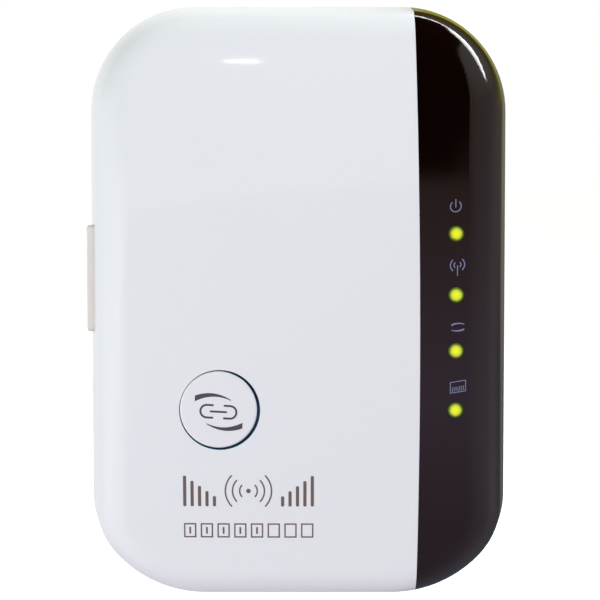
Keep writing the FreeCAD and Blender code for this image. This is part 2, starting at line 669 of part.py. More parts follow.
def contact_list():
    """Eight spring wires, each from the board up through the housing and into the socket."""
    path = [(-21.0, MAIN_FRONT_Y - 0.8), (-21.0, CONTACT_TOP_Y)]
    path += [(-33.0, CONTACT_TOP_Y), (-27.0, CONTACT_END_Y)]
    wires = []
    for index in range(CONTACT_COUNT):
        z = JACK_Z + (index - (CONTACT_COUNT - 1) / 2) * CONTACT_PITCH
        wires.append(strip(path, CONTACT_THICKNESS, about(z, CONTACT_WIDTH)))
    return wires


def jack_contacts():
    """The eight wires as one node of separate solids."""
    return Part.makeCompound(contact_list())


def jack_housing():
    """The black plastic body of the network socket."""
    x = (JACK_X[0] + SHIELD_THICKNESS, JACK_X[1] - SHIELD_THICKNESS)
    y = (JACK_Y[0], JACK_Y[1] - SHIELD_THICKNESS)
    body = block(x, y, about(JACK_Z, JACK_WIDTH - 2 * SHIELD_THICKNESS))
    body = body.cut(socket_space(JACK_X[0] + SOCKET_DEPTH, 0))
    return without(body, contact_list())


def jack_shield():
    """The sheet-metal can round the socket, open towards the board."""
    outer = block(JACK_X, JACK_Y, about(JACK_Z, JACK_WIDTH))
    inner = block((JACK_X[0] + SHIELD_THICKNESS, JACK_X[1] - SHIELD_THICKNESS),
                  (JACK_Y[0], JACK_Y[1] - SHIELD_THICKNESS),
                  about(JACK_Z, JACK_WIDTH - 2 * SHIELD_THICKNESS))
    return outer.cut(inner).cut(socket_space(JACK_X[0] + SOCKET_DEPTH, 0.15))


def port_bezel():
    """The frame round the socket, through the case wall and flanged behind it."""
    y = (MAIN_BACK_Y - BEZEL_WALL, MAIN_BACK_Y + JACK_HEIGHT + BEZEL_WALL)
    frame = block((BEZEL_FRONT_X, BEZEL_BACK_X), y, about(JACK_Z, BEZEL_HEIGHT))
    frame = softened(frame, 0.9, lambda e: runs_along(e, X_AXIS))
    frame = softened(frame, 0.35, lambda e: e.BoundBox.XMax < BEZEL_FRONT_X + 0.01)
    margin = 0.05
    hole = block((SOCKET_AHEAD_X, JACK_X[1]), (JACK_Y[0] - margin, JACK_Y[1] + margin),
                 about(JACK_Z, JACK_WIDTH + 2 * margin))
    return frame.cut(hole)


# ---- power board ------------------------------------------------------------------------
def board_link_pin_list():
    """Four square pins that join the two boards."""
    pins = []
    y = (MAIN_FRONT_Y - 1.4, POWER_BACK_Y + 1.2)
    for index in range(LINK_PIN_COUNT):
        z = LINK_Z + (index - (LINK_PIN_COUNT - 1) / 2) * LINK_PITCH
        pins.append(block(about(LINK_X, LINK_PIN_SIZE), y, about(z, LINK_PIN_SIZE)))
    return pins


def board_link_pins():
    """The four link pins as one node of separate solids."""
    return Part.makeCompound(board_link_pin_list())


def board_link_base():
    """The plastic strip that holds the link pins on the power board."""
    y = (POWER_FRONT_Y - 8.6, POWER_FRONT_Y)
    base = block(about(LINK_X, 2.5), y, about(LINK_Z, LINK_PIN_COUNT * LINK_PITCH))
    return without(base, board_link_pin_list())


def power_board():
    """The mains board, pierced by the tails of the plug pins and the link pins."""
    y = (POWER_FRONT_Y, POWER_BACK_Y)
    board = block(POWER_X, y, POWER_Z)
    board = softened(board, 1.5, lambda e: runs_along(e, Y_AXIS))
    cuts = [rod(PIN_TAIL_DIAMETER, side * PIN_SPACING / 2, y, PLUG_Z) for side in (-1, 1)]
    cuts += [rod(SMALL_SCREW_HOLE, x, y, z) for x, z in POWER_BOSSES]
    cuts += board_link_pin_list()
    cuts.append(block(SAFETY_SLOT[0], y, SAFETY_SLOT[1]))
    return without(board, cuts)


def transformer_core():
    """The ferrite frame: two outer limbs and a round middle one."""
    y = (POWER_FRONT_Y - 10.4, POWER_FRONT_Y - 1.4)
    frame = block(about(TRANSFORMER_X, TRANSFORMER_WIDTH), y, about(TRANSFORMER_Z, 6.4))
    window_x = about(TRANSFORMER_X, TRANSFORMER_WIDTH - 4.0)
    window = block(window_x, (y[0] + 2.0, y[1] - 2.0), about(TRANSFORMER_Z, 7.0))
    limb = rod(4.0, TRANSFORMER_X, (y[0] + 1.0, y[1] - 1.0), TRANSFORMER_Z)
    return joined([frame.cut(window), limb])


def transformer_winding():
    """The taped coil round the middle limb, on a base that stands on the board."""
    y = (POWER_FRONT_Y - 8.3, POWER_FRONT_Y - 3.5)
    coil = rod(9.2, TRANSFORMER_X, y, TRANSFORMER_Z)
    return coil.cut(rod(4.1, TRANSFORMER_X, y, TRANSFORMER_Z))


def transformer_base():
    """The plastic pin rail under the transformer, split into two feet."""
    feet = []
    for side in (-1, 1):
        z = sorted((TRANSFORMER_Z + side * 3.3, TRANSFORMER_Z + side * 6.3))
        feet.append(block(TRANSFORMER_FEET_X, (POWER_FRONT_Y - 3.2, POWER_FRONT_Y), z))
    y = (POWER_FRONT_Y - 1.3, POWER_FRONT_Y)
    tray = block(TRANSFORMER_FEET_X, y, about(TRANSFORMER_Z, 8.0))
    return joined(feet + [tray])


def capacitor_can(diameter, length):
    """An electrolytic can along Z from the origin, with its crimp and its scored top."""
    can = rod_upright(diameter, 0, 0, (0, length))
    can = softened(can, 0.5, lambda e: isinstance(e.Curve, Part.Circle))
    crimp = Part.makeTorus(diameter / 2 + 0.15, 0.5, Vector(0, 0, 1.8), Z_AXIS)
    scores = []
    for turn in (0, 90):
        score = block(about(0, diameter * 0.6), about(0, 0.25), (length - 0.2, length + 1))
        score.rotate(Vector(0, 0, 0), Z_AXIS, turn)
        scores.append(score)
    return without(can, [crimp] + scores)


def mains_capacitor():
    """The mains smoothing capacitor, lying on the power board."""
    can = capacitor_can(*MAINS_CAN)
    can.translate(Vector(-9.0, POWER_FRONT_Y - 4.1, 13.5))
    return can


def output_capacitors():
    """Two smaller cans standing on the power board."""
    cans = []
    for x, z in OUTPUT_CAN_PLACES:
        can = capacitor_can(*OUTPUT_CAN)
        can.rotate(Vector(0, 0, 0), X_AXIS, 90)
        can.translate(Vector(x, POWER_FRONT_Y, z))
        cans.append(can)
    return Part.makeCompound(cans)


def axial_part(diameter, length, x, z):
    """A body lying along X with a wire at each end that turns down to the board."""
    y = POWER_FRONT_Y - diameter / 2 - 0.3
    body = rod_across(diameter, about(x, length), y, z)
    body = softened(body, diameter * 0.2, lambda e: isinstance(e.Curve, Part.Circle))
    pieces = [body]
    for side in (-1, 1):
        reach = x + side * (length / 2 + 2.0)
        pieces.append(rod_across(WIRE_DIAMETER, sorted((x, reach)), y, z))
        pieces.append(rod(WIRE_DIAMETER, reach, (y, POWER_FRONT_Y), z))
        pieces.append(Part.makeSphere(WIRE_DIAMETER / 2, Vector(reach, y, z)))
    return joined(pieces)


def safety_capacitor():
    """The blue disc capacitor, standing on two short wires."""
    y = POWER_FRONT_Y - 5.2
    disc = rod_across(SAFETY_DISC_DIAMETER, SAFETY_DISC_X, y, SAFETY_DISC_Z)
    disc = softened(disc, 1.2, lambda e: isinstance(e.Curve, Part.Circle))
    wire_x = sum(SAFETY_DISC_X) / 2
    wires = []
    for side in (-1, 1):
        wires.append(rod(WIRE_DIAMETER, wire_x, (y, POWER_FRONT_Y), SAFETY_DISC_Z + side * 2.5))
    return joined([disc] + wires)


def filter_choke():
    """A drum core with its winding sunk between two cheeks."""
    y = (POWER_FRONT_Y - 8.0, POWER_FRONT_Y)
    drum = rod(7.4, CHOKE_X, y, CHOKE_Z)
    neck = rod(9.0, CHOKE_X, (y[0] + 1.2, y[1] - 1.2), CHOKE_Z)
    neck = neck.cut(rod(6.4, CHOKE_X, y, CHOKE_Z))
    return drum.cut(neck)


# ---- screws -----------------------------------------------------------------------------
def screw(x, z, seat_y, toward, size):
    """A pan-head screw: its head is on the far side of seat_y from the way it points."""
    head, shank, length = size
    height = head * 0.36
    head_y = sorted((seat_y, seat_y - toward * height))
    shank_y = sorted((seat_y, seat_y + toward * length))
    body = joined([rod(head, x, head_y, z), rod(shank, x, shank_y, z)])
    outer_y = seat_y - toward * height
    slot_y = sorted((outer_y - toward * 1.0, outer_y + toward * height * 0.55))
    slots = [block(about(x, head * 0.55), slot_y, about(z, head * 0.13)),
             block(about(x, head * 0.13), slot_y, about(z, head * 0.55))]
    return without(body, slots)


def case_screws():
    """Four screws from the back, deep in the rear cover's tubes."""
    return Part.makeCompound([screw(x, z, SCREW_SEAT_Y, -1, CASE_SCREW) for x, z in CASE_POSTS])


def main_board_screws():
    """Three screws that hold the main board to the front cover."""
    return Part.makeCompound([screw(x, z, MAIN_BACK_Y, -1, MAIN_SCREW) for x, z in MAIN_BOSSES])


def power_board_screws():
    """Three screws that hold the power board to the rear cover."""
    return Part.makeCompound([screw(x, z, POWER_FRONT_Y, 1, POWER_SCREW) for x, z in POWER_BOSSES])


def plug_block_screws():
    """Two short screws through the plug's flange."""
    seat_y = BACK_Y - 2 * WALL
    return Part.makeCompound([screw(side * PLUG_SCREW_X, PLUG_Z, seat_y, 1, PLUG_SCREW)
                              for side in (-1, 1)])


# ---- the assembly -----------------------------------------------------------------------
def save(name, shape):
    """Write one piece, moved so that the plug's axis is at height zero."""
    shape = shape.copy()
    shape.translate(Vector(0, 0, -PLUG_Z))
    shape.exportStep("parts/" + name + ".step")
    box = shape.BoundBox
    size = "%.1f x %.1f x %.1f" % (box.XLength, box.YLength, box.ZLength)
    print("%-22s solids %d valid %s volume %8.1f  %s"
          % (name, len(shape.Solids), shape.isValid(), shape.Volume, size))


def main():
    os.makedirs("parts", exist_ok=True)
    save("front_cover", front_cover())
    save("indicator_panel", indicator_panel())
    save("rear_cover", rear_cover())
    save("rating_label", rating_label())
    save("plug_block", plug_block())
    for name, side in (("left", -1), ("right", 1)):
        save("plug_pin_" + name, plug_pin(side))
        save("pin_sleeve_" + name, pin_sleeve(side))
        save("antenna_" + name, antenna(side))
    save("pairing_button", pairing_button())
    save("pairing_switch", pairing_switch())
    save("pairing_switch_stem", pairing_switch_stem())
    save("reset_switch", reset_switch())
    save("reset_switch_stem", reset_switch_stem())
    for name, height in LAMP_HEIGHTS.items():
        save("led_" + name, led(height))
    save("led_light_guide", led_light_guide())
    save("led_light_shield", led_light_shield())
    save("main_board", main_board())
    save("wifi_chip", chip(3.0, 14.0, (10.0, 10.0), 1.2, 14, 0.65, MAIN_FRONT_Y))
    save("memory_chip", chip(-14.0, 12.0, (10.2, 22.2), 1.2, 20, 1.1, MAIN_FRONT_Y))
    save("flash_chip", chip(4.0, -4.0, (5.0, 5.2), 1.8, 4, 1.27, MAIN_FRONT_Y))
    save("regulator_chip", chip(6.0, -14.0, (4.0, 5.0), 1.6, 4, 1.27, MAIN_FRONT_Y))
    save("network_transformer", chip(-25.0, 30.0, (7.2, 12.8), 5.4, 8, 1.27, MAIN_FRONT_Y))
    save("clock_crystal", clock_crystal())
    save("regulator_inductor", regulator_inductor())
    save("jack_housing", jack_housing())
    save("jack_shield", jack_shield())
    save("jack_contacts", jack_contacts())
    save("port_bezel", port_bezel())
    save("power_board", power_board())
    save("board_link_base", board_link_base())
    save("board_link_pins", board_link_pins())
    save("transformer_core", transformer_core())
    save("transformer_winding", transformer_winding())
    save("transformer_base", transformer_base())
    save("mains_capacitor", mains_capacitor())
    save("output_capacitors", output_capacitors())
    save("bridge_rectifier", chip(0.0, 18.0, (4.0, 4.8), 2.5, 2, 2.5, POWER_FRONT_Y))
    save("power_controller", chip(-4.0, -6.0, (4.0, 5.0), 1.6, 4, 1.27, POWER_FRONT_Y))
    save("fuse_resistor", axial_part(3.4, 8.0, 8.0, 27.0))
    save("output_diode", axial_part(2.7, 5.0, 25.0, 12.0))
    save("safety_capacitor", safety_capacitor())
    save("filter_choke", filter_choke())
    save("case_screws", case_screws())
    save("main_board_screws", main_board_screws())
    save("power_board_screws", power_board_screws())
    save("plug_block_screws", plug_block_screws())


main()
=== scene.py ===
"""Looks of a plug-in Wi-Fi range extender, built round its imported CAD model.  Metres, Z up."""
import json
import math
import bmesh
import bpy
from mathutils import Matrix, Vector
from mathutils.bvhtree import BVHTree

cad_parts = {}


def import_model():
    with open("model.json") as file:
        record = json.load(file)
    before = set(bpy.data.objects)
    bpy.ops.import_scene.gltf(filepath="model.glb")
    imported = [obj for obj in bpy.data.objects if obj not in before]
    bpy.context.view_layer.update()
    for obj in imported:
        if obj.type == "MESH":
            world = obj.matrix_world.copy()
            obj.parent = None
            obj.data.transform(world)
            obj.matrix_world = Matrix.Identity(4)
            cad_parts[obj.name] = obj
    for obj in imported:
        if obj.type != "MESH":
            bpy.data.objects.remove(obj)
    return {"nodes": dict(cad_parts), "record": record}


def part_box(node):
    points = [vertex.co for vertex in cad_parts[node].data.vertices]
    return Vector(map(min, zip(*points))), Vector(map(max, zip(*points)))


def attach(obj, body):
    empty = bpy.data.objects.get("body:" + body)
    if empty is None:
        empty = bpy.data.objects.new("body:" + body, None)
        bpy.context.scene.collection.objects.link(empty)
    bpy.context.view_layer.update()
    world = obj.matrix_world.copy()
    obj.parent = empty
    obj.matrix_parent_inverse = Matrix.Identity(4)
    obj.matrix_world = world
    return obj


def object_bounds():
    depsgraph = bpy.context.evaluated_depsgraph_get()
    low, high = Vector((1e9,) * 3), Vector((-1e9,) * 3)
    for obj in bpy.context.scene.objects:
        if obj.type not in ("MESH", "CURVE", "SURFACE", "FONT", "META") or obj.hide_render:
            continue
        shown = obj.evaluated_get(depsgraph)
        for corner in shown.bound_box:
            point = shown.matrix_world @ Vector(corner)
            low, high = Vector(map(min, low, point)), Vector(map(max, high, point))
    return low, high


MM = 0.001
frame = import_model()
cad_low, cad_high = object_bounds()


# ---- places worked out from the frame -----------------------------------------------------
def middle(node):
    """The centre of a CAD node's box."""
    low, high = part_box(node)
    return (low + high) / 2


CASE_MIDDLE = middle("rear_cover")
PARTING_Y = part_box("front_cover")[1].y
FRONT_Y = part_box("front_cover")[0].y
BUTTON = middle("pairing_button")
BUTTON_HOLE = BUTTON + Vector((0.20 * MM, 0, -0.07 * MM))
CAP_FACE_RADIUS = 6.90 * MM        # where the cap's face ends and the painted gap shade on its side begins
CAP_RADIUS = 7.00 * MM
HOLE_RADIUS = 7.31 * MM
HOLE_RIM_RADIUS = 7.36 * MM
# Painted shade: the dark teal colour given to the walls of the button's gap in place of a shadow.
PAINTED_GAP_SHADE_TEAL = (0.03, 0.30, 0.50)
LAMPS = [middle(node) for node in ("led_power", "led_wireless", "led_link", "led_network")]
LENS_REACH = 1.3 * MM              # how far each lamp's glow spreads from its middle


# ---- material helpers -----------------------------------------------------------------------
class Graph:
    """A node tree, with short ways to add to it."""

    def __init__(self, tree, coordinates):
        self.nodes = tree.nodes
        self.links = tree.links
        self.place = self.add("ShaderNodeTexCoord").outputs[coordinates]

    def add(self, kind, **settings):
        """A new node with its settings."""
        node = self.nodes.new(kind)
        for key, value in settings.items():
            setattr(node, key, value)
        return node

    def link(self, output, node, socket):
        """Join an output to a socket given by name or number."""
        self.links.new(output, node.inputs[socket])

    def within(self, value, start, end):
        """How far a value has gone from start to end, from 0 to 1, eased at both ends."""
        node = self.add("ShaderNodeMapRange", interpolation_type="SMOOTHSTEP")
        node.inputs["From Min"].default_value = start
        node.inputs["From Max"].default_value = end
        self.link(value, node, "Value")
        return node.outputs["Result"]

    def math(self, operation, *values):
        """A Math node on numbers or outputs."""
        node = self.add("ShaderNodeMath", operation=operation)
        for index, value in enumerate(values):
            if isinstance(value, (int, float)):
                node.inputs[index].default_value = value
            else:
                self.link(value, node, index)
        return node.outputs[0]

    def stretched(self, scale):
        """Object coordinates, scaled differently along each axis."""
        node = self.add("ShaderNodeMapping")
        node.inputs["Scale"].default_value = scale
        self.link(self.place, node, "Vector")
        return node.outputs["Vector"]

    def noise(self, scale, detail=3.0, stretch=None):
        """A noise value between 0 and 1; scale is in features per metre."""
        node = self.add("ShaderNodeTexNoise")
        node.inputs["Scale"].default_value = scale
        node.inputs["Detail"].default_value = detail
        self.link(self.stretched(stretch) if stretch else self.place, node, "Vector")
        return node.outputs["Fac"]

    def ramp(self, value, stops):
        """A colour ramp through (position, colour) stops."""
        node = self.add("ShaderNodeValToRGB")
        while len(node.color_ramp.elements) < len(stops):
            node.color_ramp.elements.new(0.5)
        for element, (position, colour) in zip(node.color_ramp.elements, stops):
            element.position = position
            element.color = (*colour, 1.0)
        self.link(value, node, "Fac")
        return node.outputs["Color"]

    def spread(self, value, low, high):
        """A 0 to 1 value stretched to run from low to high."""
        node = self.add("ShaderNodeMapRange")
        node.inputs["To Min"].default_value = low
        node.inputs["To Max"].default_value = high
        self.link(value, node, "Value")
        return node.outputs["Result"]

    def mix(self, factor, first, second):
        """Two colours mixed by a factor; each may be a colour or an output."""
        node = self.add("ShaderNodeMix", data_type="RGBA")
        for socket, value in (("Factor", factor), ("A", first), ("B", second)):
            target = [s for s in node.inputs if s.name == socket and s.enabled][0]
            if isinstance(value, tuple):
                target.default_value = (*value, 1.0)
            elif isinstance(value, (int, float)):
                target.default_value = value
            else:
                self.links.new(value, target)
        return [s for s in node.outputs if s.name == "Result" and s.enabled][0]


class Surface(Graph):
    """A node material with one Principled shader."""

    def __init__(self, name, roughness=0.4, metallic=0.0, **sockets):
        self.material = bpy.data.materials.new(name)
        self.material.use_nodes = True
        super().__init__(self.material.node_tree, "Object")
        self.shader = self.nodes["Principled BSDF"]
        self.shader.inputs["Roughness"].default_value = roughness
        self.shader.inputs["Metallic"].default_value = metallic
        for socket, value in sockets.items():
            self.shader.inputs[socket.replace("_", " ")].default_value = value

    def colour(self, value):
        """Set or link the base colour."""
        if isinstance(value, tuple):
            self.shader.inputs["Base Color"].default_value = (*value, 1.0)
        else:
            self.link(value, self.shader, "Base Color")

    def roughness(self, value, low, high):
        """Roughness that follows a 0 to 1 value."""
        self.link(self.spread(value, low, high), self.shader, "Roughness")

    def bump(self, value, depth):
        """Add relief: depth is in metres."""
        node = self.add("ShaderNodeBump")
        node.inputs["Strength"].default_value = 1.0
        node.inputs["Distance"].default_value = depth
        self.link(value, node, "Height")
        self.link(node.outputs["Normal"], self.shader, "Normal")

    def distance_from(self, axis):
        """How far a point lies from an axis along Y, with its offsets across and upward."""
        split = self.add("ShaderNodeSeparateXYZ")
        self.link(self.place, split, 0)
        across = self.math("SUBTRACT", split.outputs["X"], axis.x)
        upward = self.math("SUBTRACT", split.outputs["Z"], axis.z)
        square = self.math("ADD", self.math("MULTIPLY", across, across),
                           self.math("MULTIPLY", upward, upward))
        return self.math("SQRT", square), across, upward


def shade(colour, factor):
    """A colour made lighter or darker."""
    return tuple(min(1.0, channel * factor) for channel in colour)


def moulded(name, colour, roughness, grain, grain_depth, tint=0.02, coat=0.0):
    """Moulded plastic: slight flow marks in its colour and a fine skin."""
    surface = Surface(name, Coat_Weight=coat, Coat_Roughness=0.05)
    flow = surface.noise(35.0, 2.0, (1.0, 1.0, 0.35))
    surface.colour(surface.mix(flow, shade(colour, 1 - tint), shade(colour, 1 + tint)))
    surface.shader.inputs["Roughness"].default_value = roughness
    surface.bump(surface.noise(grain, 3.0), grain_depth)
    return surface


def shell_with_painted_gap_shade(name, colour, axis, edge, beyond):
    """White plastic with painted shade, tinted dark teal, on the walls of the button's gap, between
    two distances from an axis.
    """
    surface = moulded(name, colour, roughness=0.30, grain=700.0, grain_depth=1.2e-6,
                      tint=0.008, coat=0.25)
    distance, across, upward = surface.distance_from(axis)
    painted_gap_shade = surface.within(distance, edge, beyond)
    # The painted gap shade fades out at its upper left, which faces the key light.
    toward_key = surface.math("SUBTRACT", upward, surface.math("MULTIPLY", across, 0.6))
    painted_gap_shade = surface.math("MULTIPLY", painted_gap_shade, surface.within(toward_key, 7.0 * MM, 4.6 * MM))
    plain = surface.shader.inputs["Base Color"].links[0].from_socket
    # Painted shade: the plain colour is mixed toward dark teal inside the gap.
    surface.colour(surface.mix(painted_gap_shade, plain, PAINTED_GAP_SHADE_TEAL))
    return surface


def plain_metal(name, colour, roughness, stretch=(1.0, 1.0, 1.0), scale=900.0):
    """Metal with fine marks along one direction and faint tarnish."""
    surface = Surface(name, metallic=1.0)
    tarnish = surface.noise(160.0, 3.0)
    surface.colour(surface.mix(tarnish, shade(colour, 0.88), shade(colour, 1.05)))
    marks = surface.noise(scale, 4.0, stretch)
    surface.roughness(marks, roughness * 0.7, roughness * 1.4)
    surface.bump(marks, 2e-6)
    return surface


# ---- materials ---------------------------------------------------------------------------------
def black_panel():
    """Piano-black plastic with the faint swirls of handling."""
    surface = Surface("black_panel")
    swirls = surface.noise(60.0, 2.0)
    surface.colour(surface.mix(swirls, (0.0040, 0.0010, 0.0005), (0.0060, 0.0020, 0.0010)))
    surface.roughness(surface.noise(260.0, 5.0), 0.05, 0.11)
    surface.bump(surface.noise(420.0, 2.0), 1.5e-6)
    return surface


def lamp_lens():
    """Clear lens that glows yellow-green, hottest in the middle of each lamp."""
    surface = Surface("lamp_lens", roughness=0.2)
    nearest = surface.distance_from(LAMPS[0])[0]
    for lamp in LAMPS[1:]:
        nearest = surface.math("MINIMUM", nearest, surface.distance_from(lamp)[0])
    radius = surface.math("DIVIDE", nearest, LENS_REACH)
    wobble = surface.math("MULTIPLY", surface.noise(1500.0, 2.0), 0.16)
    glow = surface.ramp(surface.math("ADD", radius, wobble), [
        (0.00, (0.88, 0.84, 0.013)),
        (0.50, (0.76, 0.79, 0.012)),
        (0.78, (0.45, 0.54, 0.010)),
        (0.98, (0.05, 0.09, 0.003)),
    ])
    surface.colour((0.05, 0.07, 0.01))
    surface.link(glow, surface.shader, "Emission Color")
    surface.shader.inputs["Emission Strength"].default_value = 1.0
    return surface


def circuit_board(name, mask, track):
    """Laminate with a maze of lighter tracks under its lacquer."""
    surface = Surface(name, roughness=0.3, Coat_Weight=0.4, Coat_Roughness=0.2)
    maze = surface.add("ShaderNodeTexBrick")
    maze.inputs["Scale"].default_value = 160.0
    maze.inputs["Mortar Size"].default_value = 0.03
    maze.inputs["Color1"].default_value = (*mask, 1.0)
    maze.inputs["Color2"].default_value = (*shade(mask, 1.15), 1.0)
    maze.inputs["Mortar"].default_value = (*track, 1.0)
    turn = surface.add("ShaderNodeMapping")
    turn.inputs["Rotation"].default_value = (math.radians(90), 0.0, 0.0)
    surface.link(surface.place, turn, "Vector")
    surface.link(turn.outputs["Vector"], maze, "Vector")
    surface.colour(maze.outputs["Color"])
    surface.bump(surface.noise(2500.0, 2.0), 3e-6)
    return surface


def label_foil():
    """Silver foil with a fine grain along its length."""
    surface = Surface("label", metallic=0.7)
    grain = surface.noise(500.0, 3.0, (0.05, 1.0, 1.0))
    surface.colour(surface.mix(grain, (0.62, 0.63, 0.64), (0.74, 0.75, 0.76)))
    surface.roughness(grain, 0.3, 0.45)
    surface.bump(grain, 2e-6)
    return surface


RINGS_PER_UNIT = 6.28      # the wave texture's rings in a length of one, at a scale of one


def wound(name, colour, pitch):
    """Turns of wire or tape, as fine rings along Y."""
    surface = Surface(name, roughness=0.35)
    wave = surface.add("ShaderNodeTexWave", wave_type="BANDS", bands_direction="Y")
    wave.inputs["Scale"].default_value = 1.0 / (pitch * RINGS_PER_UNIT)
    surface.link(surface.place, wave, "Vector")
    surface.colour(surface.mix(wave.outputs["Fac"], shade(colour, 0.55), colour))
    surface.bump(wave.outputs["Fac"], 5e-5)
    return surface


def build_materials():
    """Every material slot of the record, by name."""
    made = {
        # The white shell and the button cap carry painted shade in the button's gap.
        "white_shell": shell_with_painted_gap_shade("white_shell", (0.818, 0.868, 0.888), BUTTON_HOLE,
                                          HOLE_RIM_RADIUS, HOLE_RADIUS),
        "button_cap": shell_with_painted_gap_shade("button_cap", (0.818, 0.864, 0.888), BUTTON,
                                         CAP_FACE_RADIUS, CAP_RADIUS),
        "rear_shell": moulded("rear_shell", (0.78, 0.80, 0.83),
                              roughness=0.42, grain=3200.0, grain_depth=6e-6, tint=0.01),
        "plug_body": moulded("plug_body", (0.76, 0.78, 0.80),
                             roughness=0.45, grain=3000.0, grain_depth=6e-6, tint=0.01),
        "bezel": moulded("bezel", (0.76, 0.72, 0.68),
                         roughness=0.40, grain=2600.0, grain_depth=4e-6, tint=0.02),
        "sleeve": moulded("sleeve", (0.02, 0.02, 0.022),
                          roughness=0.40, grain=2600.0, grain_depth=3e-6, tint=0.05),
        "chip_black": moulded("chip_black", (0.022, 0.022, 0.023),
                              roughness=0.55, grain=5200.0, grain_depth=6e-6, tint=0.08),
        "black_plastic": moulded("black_plastic", (0.02, 0.02, 0.022),
                                 roughness=0.42, grain=3000.0, grain_depth=5e-6, tint=0.06),
        "led_body": moulded("led_body", (0.72, 0.72, 0.45),
                            roughness=0.25, grain=1500.0, grain_depth=2e-6),
        "capacitor_sleeve": moulded("capacitor_sleeve", (0.03, 0.035, 0.075),
                                    roughness=0.30, grain=800.0, grain_depth=4e-6, tint=0.05),
        "disc_blue": moulded("disc_blue", (0.03, 0.13, 0.42),
                             roughness=0.25, grain=900.0, grain_depth=2e-5, tint=0.06),
        "resistor_body": moulded("resistor_body", (0.12, 0.30, 0.25),
                                 roughness=0.35, grain=1200.0, grain_depth=8e-6, tint=0.06),
        "ferrite": moulded("ferrite", (0.045, 0.045, 0.05),
                           roughness=0.60, grain=4200.0, grain_depth=1.2e-5, tint=0.10),
        "pin_metal": plain_metal("pin_metal", (0.78, 0.76, 0.72), 0.22, (1.0, 0.08, 1.0)),
        "tin": plain_metal("tin", (0.72, 0.72, 0.71), 0.30, (0.1, 1.0, 1.0)),
        "contact_gold": plain_metal("contact_gold", (0.86, 0.64, 0.26), 0.22, (0.2, 1.0, 1.0)),
        "screw_steel": plain_metal("screw_steel", (0.60, 0.60, 0.60), 0.32, (1.0, 1.0, 1.0), 1500.0),
        "winding_tape": wound("winding_tape", (0.80, 0.58, 0.06), 0.9 * MM),
        "copper": wound("copper", (0.60, 0.24, 0.09), 0.35 * MM),
        "main_laminate": circuit_board("main_laminate", (0.012, 0.10, 0.035), (0.03, 0.20, 0.07)),
        "power_laminate": circuit_board("power_laminate", (0.30, 0.19, 0.06), (0.42, 0.30, 0.12)),
        "black_panel": black_panel(),
        "lamp_lens": lamp_lens(),
        "label": label_foil(),
    }
    return {name: surface.material for name, surface in made.items()}


def dress_nodes(materials):
    """Give each CAD node the finish that the record names for it."""
    for part in frame["record"]["subparts"]:
        node = frame["nodes"][part["node"]]
        node.data.materials.clear()
        node.data.materials.append(materials[part["material_slot"]])


# ---- printed marks --------------------------------------------------------------------------------
INK_PROUD = 0.025 * MM
INK_SUNK = 0.05 * MM
INK_STEP = 0.6             # millimetres between the rows of a bar


